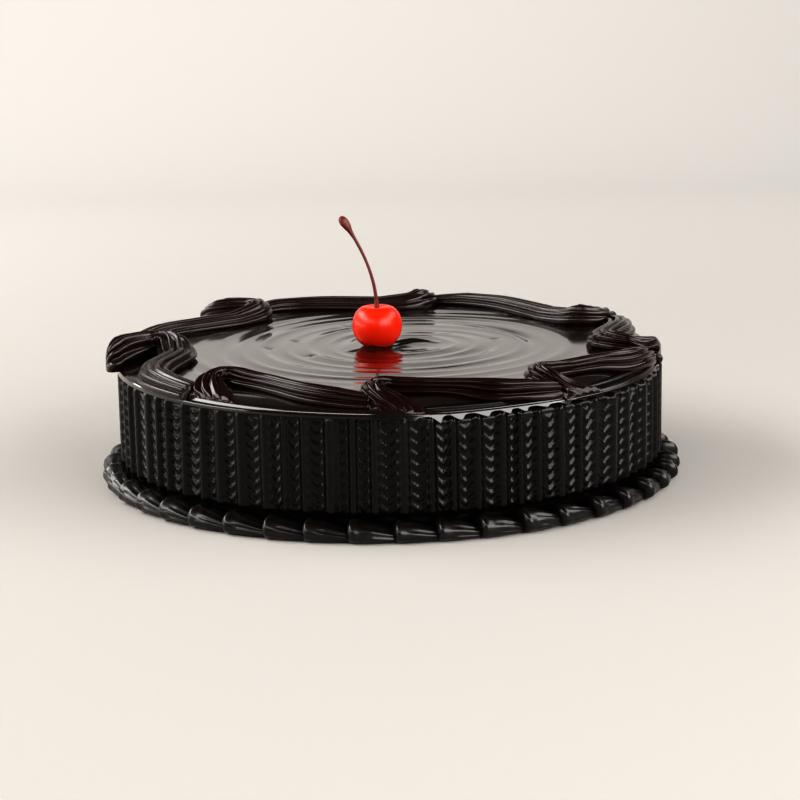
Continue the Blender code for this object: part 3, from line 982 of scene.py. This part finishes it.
# Each lamp: name, setting of its power, place, what it is aimed at, width and height in metres,
# colour, and whether the gloss mirrors it
LAMPS = (
    ("left", "left_power", (-0.88, 0.05, 0.66), CAKE_MIDDLE, (1.5, 0.4), WARM_WHITE, True),
    ("left_low", "low_power", (-1, 0.05, 0.1), CAKE_LOW, (1.4, 0.12), WARMER_WHITE, True),
    ("right", "right_power", (0.72, -0.68, 0.45), CAKE_MIDDLE, (1.1, 0.5), SOFT_WHITE, True),
    ("far_right", "far_power", (0.9, 0.15, 0.66), CAKE_MIDDLE, (1, 0.4), SOFT_WHITE, True),
    ("front", "front_power", (-0.5, -0.9, 0.62), CAKE_MIDDLE, (0.9, 0.12), SOFT_WHITE, True),
    ("top", "top_power", (0, 0.1, 1.5), (0, 0.1, 0), (2.5, 1.6), WARM_WHITE, False),
    ("wall", "wall_power", (-0.5, 0.72, 0.75), (-0.5, 1.3, 0.2), (2.6, 0.3), COOL_WHITE, True),
)


def add_camera():
    """A camera at the photo's angle, level but for a slight roll."""
    data = bpy.data.cameras.new("camera")
    data.sensor_width = SENSOR_WIDTH
    data.lens = FOCAL_PIXELS * SENSOR_WIDTH / FRAME_PIXELS
    camera = add_object("camera", data)
    turn = Matrix.Rotation(math.radians(-CAMERA_YAW), 4, "Z")
    tilt = Matrix.Rotation(math.radians(90 + CAMERA_PITCH), 4, "X")
    roll = Matrix.Rotation(math.radians(CAMERA_ROLL), 4, "Z")
    place = Matrix.Translation((0, -CAMERA_DISTANCE, CAMERA_HEIGHT))
    camera.matrix_world = place @ turn @ tilt @ roll
    bpy.context.scene.camera = camera


def add_lamp(name, power, place, aim, size, tint, mirrored):
    """A soft box at a place, aimed at a point. It can be kept out of the gloss."""
    data = bpy.data.lights.new(name, "AREA")
    data.shape = "RECTANGLE"
    data.size, data.size_y = size
    data.energy = power
    data.color = tint
    lamp = add_object(name, data)
    lamp.location = place
    lamp.rotation_euler = (Vector(aim) - Vector(place)).to_track_quat("-Z", "Y").to_euler()
    lamp.visible_glossy = mirrored


def add_backdrop(base):
    """Paper that lies under the cake and sweeps up into a low wall behind it."""
    bm = bmesh.new()
    sweep_start = WALL - SWEEP
    line = [(-PAPER_FRONT, 0), (sweep_start, 0)]
    for a in np.radians(np.linspace(90 / SWEEP_STEPS, 90, SWEEP_STEPS)):
        line.append((sweep_start + SWEEP * math.sin(a), SWEEP * (1 - math.cos(a))))
    line.append((WALL, WALL_TOP))
    verts = [bm.verts.new((-PAPER_WIDTH / 2, y, z)) for y, z in line]
    edges = [bm.edges.new(pair) for pair in zip(verts, verts[1:])]
    made = bmesh.ops.extrude_edge_only(bm, edges=edges)["geom"]
    across = [part for part in made if isinstance(part, bmesh.types.BMVert)]
    bmesh.ops.translate(bm, verts=across, vec=(PAPER_WIDTH, 0, 0))
    backdrop = add_mesh("backdrop", bm, matt_paper(base))


def add_sky():
    """Dim, pale light from all round, and how the picture is developed."""
    world = bpy.data.worlds.new("studio")
    world.use_nodes = True
    sky = {"Color": (*hex_colour(SKY_COLOUR), 1), "Strength": SKY_STRENGTH}
    set_inputs(world.node_tree, world.node_tree.nodes["Background"], sky)
    bpy.context.scene.world = world
    bpy.context.scene.view_settings.view_transform = "Standard"
    bpy.context.scene.view_settings.look = "High Contrast"


def add_stage(s):
    add_camera()
    add_backdrop(s.floor_colour)
    for name, setting, *rest in LAMPS:
        add_lamp(name, getattr(s, setting), *rest)
    add_sky()


# Operators


class CAKE_OT_side(bpy.types.Operator):
    """Build the body of the cake with its combed side."""

    bl_idname = "cake.side"
    bl_label = "Combed side"

    def execute(self, context):
        add_combed_side(context.scene.cake.side)
        return {"FINISHED"}


class CAKE_OT_glaze(bpy.types.Operator):
    """Pour the glaze over the top."""

    bl_idname = "cake.glaze"
    bl_label = "Poured glaze"

    def execute(self, context):
        add_glaze(context.scene.cake.glaze, context.scene.cake.side.ribs)
        return {"FINISHED"}


class CAKE_OT_piping(bpy.types.Operator):
    """Pipe the swags round the top and the shells round the foot."""

    bl_idname = "cake.piping"
    bl_label = "Piped borders"

    def execute(self, context):
        settings = context.scene.cake.piping
        wet = ganache("piped_ganache", settings.colour)
        dry = ganache("dry_piped_ganache", settings.colour)
        first, last = DRY_AZIMUTHS
        following = HOOKS[1:] + HOOKS[:1]
        for number, (hook, next_hook) in enumerate(zip(HOOKS, following), 1):
            add_swag(settings, number, hook, next_hook, dry if first < hook[0] < last else wet)
        add_shells(settings, ganache("shell_ganache", settings.shell_colour))
        return {"FINISHED"}


class CAKE_OT_cherry(bpy.types.Operator):
    """Set the cherry and its stem on the glaze."""

    bl_idname = "cake.cherry"
    bl_label = "Cherry"

    def execute(self, context):
        add_cherry(context.scene.cake.cherry)
        add_stem(context.scene.cake.cherry)
        return {"FINISHED"}


class CAKE_OT_stage(bpy.types.Operator):
    """Set up the paper floor and wall, the lamps and the camera."""

    bl_idname = "cake.stage"
    bl_label = "Stage"

    def execute(self, context):
        add_stage(context.scene.cake.stage)
        return {"FINISHED"}


class CAKE_PT_panel(bpy.types.Panel):
    """Settings of the cake and a button for each of its parts."""

    bl_label = "Chocolate cake"
    bl_space_type = "VIEW_3D"
    bl_region_type = "UI"
    bl_category = "Cake"

    def draw(self, context):
        for group, operator in (
            ("side", "cake.side"),
            ("glaze", "cake.glaze"),
            ("piping", "cake.piping"),
            ("cherry", "cake.cherry"),
            ("stage", "cake.stage"),
        ):
            box = self.layout.box()
            settings = getattr(context.scene.cake, group)
            for name in settings.bl_rna.properties.keys():
                if name not in ("rna_type", "name"):
                    box.prop(settings, name)
            box.operator(operator)


CLASSES = (
    SideSettings,
    GlazeSettings,
    PipingSettings,
    CherrySettings,
    StageSettings,
    CakeSettings,
    CAKE_OT_side,
    CAKE_OT_glaze,
    CAKE_OT_piping,
    CAKE_OT_cherry,
    CAKE_OT_stage,
    CAKE_PT_panel,
)


def register():
    for one in CLASSES:
        bpy.utils.register_class(one)
    bpy.types.Scene.cake = PointerProperty(type=CakeSettings)


def unregister():
    del bpy.types.Scene.cake
    for one in reversed(CLASSES):
        bpy.utils.unregister_class(one)


def main():
    register()
    bpy.ops.cake.side()
    bpy.ops.cake.glaze()
    bpy.ops.cake.piping()
    bpy.ops.cake.cherry()
    bpy.ops.cake.stage()


if __name__ == "__main__":
    main()
